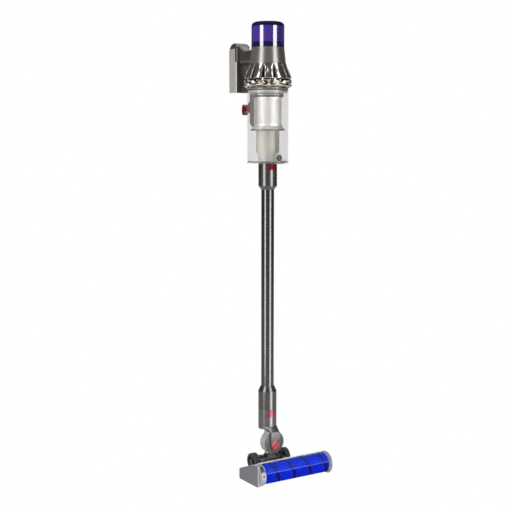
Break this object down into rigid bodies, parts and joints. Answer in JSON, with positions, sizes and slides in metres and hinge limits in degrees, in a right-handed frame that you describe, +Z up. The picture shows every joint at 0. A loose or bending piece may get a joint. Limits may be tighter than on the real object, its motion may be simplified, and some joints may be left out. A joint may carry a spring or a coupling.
{
  "type": "cordless stick vacuum",
  "caption": "Upright battery vacuum: cyclone main unit with clear bin and pistol handle, straight wand, and a swivelling floor head with a soft roller.",
  "frame": {"origin": "middle of the flat lower end of the battery, where the dock carries the vacuum", "axes": "+Z up along the wand, -Y to the front of the floor head, +X to the right as seen from the front camera side"},
  "size_m": [0.2425, 0.3365, 1.25],
  "materials": {
    "violet_cap": "satin violet",
    "violet_band": "dark violet",
    "filter_paper": "pleated medium",
    "dark_shell": "dark grey, glossy",
    "cyclone_grey": "dark metallic grey",
    "display_black": "glossy black",
    "display_glass": "dark clear lens",
    "button_grey": "satin",
    "motor_metal": "turned",
    "soft_black": "matt rubber",
    "handle_grey": "dark grey",
    "battery_silver": "silver grey",
    "cell_metal": "wrapped cells",
    "screw_steel": "zinc plated",
    "board_green": "circuit board",
    "switch_black": "matt",
    "trigger_dark": "satin",
    "bin_clear": "clear polycarbonate",
    "seat_grey": "mid grey",
    "shroud_silver": "perforated",
    "collector_pale": "pale grey",
    "red_plastic": "crimson",
    "runner_dark": "dark grey",
    "tube_silver": "satin anodised",
    "collar_grey": "dark grey",
    "drum_black": "black",
    "axle_steel": "steel",
    "tyre_black": "rubber tread",
    "wheel_grey": "dark grey",
    "cover_grey": "dark grey",
    "window_clear": "clear polycarbonate",
    "end_grey": "mid grey",
    "trim_pale": "pale grey",
    "sole_black": "black",
    "pile_blue": "plush pile",
    "core_grey": "grey",
    "cable_black": "sheathed cable"
  },
  "bodies": {
    "main_unit": {"motor_housing": "dark_shell", "cyclone_shell": "cyclone_grey", "bin_seat": "seat_grey", "shroud_collar": "seat_grey", "shroud_mesh": "shroud_silver", "shroud_skirt": "collector_pale", "dust_collector": "collector_pale", "inlet_duct": "collar_grey", "motor_can": "motor_metal", "motor_mount": "soft_black", "display_bezel": "display_black", "display_lens": "display_glass", "handle_left": "handle_grey", "handle_right": "handle_grey", "handle_screws": "screw_steel", "control_board": "board_green", "trigger_switch": "switch_black", "battery_case": "battery_silver", "battery_cells": "cell_metal", "battery_screws": "screw_steel", "bin_runner": "runner_dark"},
    "impeller": {"impeller": "dark_shell"},
    "mode_button": {"mode_button": "button_grey"},
    "trigger": {"trigger": "trigger_dark"},
    "filter_ring": {"filter_lock_ring": "violet_band"},
    "filter": {"filter_cap": "violet_cap", "filter_media": "filter_paper"},
    "bin": {"bin_cylinder": "bin_clear", "bin_seal": "soft_black", "flap_pin": "axle_steel"},
    "flap": {"bin_flap": "bin_clear", "flap_seal": "soft_black"},
    "bin_lever": {"bin_lever": "red_plastic"},
    "wand": {"wand_tube": "tube_silver", "wand_upper_collar": "collar_grey", "wand_lower_collar": "collar_grey", "wand_cable": "cable_black"},
    "wand_button": {"wand_button": "red_plastic"},
    "neck": {"neck_socket": "collar_grey", "pivot_pin": "axle_steel", "pivot_cap": "red_plastic"},
    "head_clip": {"head_clip": "red_plastic"},
    "swivel": {"swivel_drum": "drum_black", "wheel_axle": "axle_steel"},
    "head": {"head_cover": "cover_grey", "head_window": "window_clear", "head_bridge": "drum_black", "sole_plate": "sole_black", "end_cap_left": "end_grey", "end_trim_left": "trim_pale", "roller_motor": "motor_metal"},
    "left_wheel": {"wheel_left": "wheel_grey", "tyre_left": "tyre_black"},
    "right_wheel": {"wheel_right": "wheel_grey", "tyre_right": "tyre_black"},
    "roller": {"roller_core": "core_grey", "roller_pile": "pile_blue"},
    "end_cap": {"end_cap_right": "end_grey", "end_trim_right": "trim_pale"},
    "fastener": {"cap_fastener": "end_grey"}
  },
  "joints": [
    {"name": "impeller_spin", "type": "hinge", "parent": "main_unit", "child": "impeller", "pos_m": [0, -0.152, 0.075], "axis": [0, 0, 1], "continuous": true},
    {"name": "mode_press", "type": "slide", "parent": "main_unit", "child": "mode_button", "axis": [0, 0, -1], "range_m": [0, 0.0015], "stiffness_N_per_m": 600, "springref_m": -0.001},
    {"name": "trigger_pull", "type": "slide", "parent": "main_unit", "child": "trigger", "axis": [0, 0, 1], "range_m": [0, 0.006], "stiffness_N_per_m": 500, "springref_m": -0.004},
    {"name": "filter_twist", "type": "hinge", "parent": "main_unit", "child": "filter_ring", "pos_m": [0, -0.152, 0.126], "axis": [0, 0, 1], "range_deg": [0, 30]},
    {"name": "filter_lift", "type": "slide", "parent": "filter_ring", "child": "filter", "axis": [0, 0, 1], "range_m": [0, 0.06]},
    {"name": "bin_drop", "type": "slide", "parent": "main_unit", "child": "bin", "axis": [0, 0, -1], "range_m": [0, 0.045]},
    {"name": "flap_open", "type": "hinge", "parent": "bin", "child": "flap", "pos_m": [0, -0.2135, -0.1949], "axis": [-1, 0, 0], "range_deg": [0, 100]},
    {"name": "lever_push", "type": "slide", "parent": "main_unit", "child": "bin_lever", "axis": [0, 0, -1], "range_m": [0, 0.01], "stiffness_N_per_m": 300, "springref_m": -0.006},
    {"name": "wand_release", "type": "slide", "parent": "main_unit", "child": "wand", "axis": [0, 0, -1], "range_m": [0, 0.06]},
    {"name": "wand_button_press", "type": "slide", "parent": "wand", "child": "wand_button", "axis": [0, 1, 0], "range_m": [0, 0.002], "stiffness_N_per_m": 900, "springref_m": -0.001},
    {"name": "head_release", "type": "slide", "parent": "wand", "child": "neck", "axis": [0, 0, -1], "range_m": [0, 0.05]},
    {"name": "head_clip_press", "type": "slide", "parent": "neck", "child": "head_clip", "axis": [0, 1, 0], "range_m": [0, 0.002], "stiffness_N_per_m": 900, "springref_m": -0.001},
    {"name": "head_roll", "type": "hinge", "parent": "neck", "child": "swivel", "pos_m": [0, -0.176, -0.984], "axis": [0, 1, 0], "range_deg": [-45, 45]},
    {"name": "head_pitch", "type": "hinge", "parent": "swivel", "child": "head", "pos_m": [0, -0.16, -1.038], "axis": [1, 0, 0], "range_deg": [0, 80]},
    {"name": "left_wheel_spin", "type": "hinge", "parent": "swivel", "child": "left_wheel", "pos_m": [-0.051, -0.16, -1.038], "axis": [1, 0, 0], "continuous": true},
    {"name": "right_wheel_spin", "type": "hinge", "parent": "swivel", "child": "right_wheel", "pos_m": [0.051, -0.16, -1.038], "axis": [1, 0, 0], "continuous": true},
    {"name": "roller_spin", "type": "hinge", "parent": "head", "child": "roller", "pos_m": [-0.0005, -0.282, -1.034], "axis": [1, 0, 0], "continuous": true},
    {"name": "end_cap_pull", "type": "slide", "parent": "head", "child": "end_cap", "axis": [1, 0, 0], "range_m": [0, 0.04]},
    {"name": "fastener_turn", "type": "hinge", "parent": "end_cap", "child": "fastener", "pos_m": [0.1135, -0.264, -1.034], "axis": [1, 0, 0], "range_deg": [0, 90]}
  ]
}
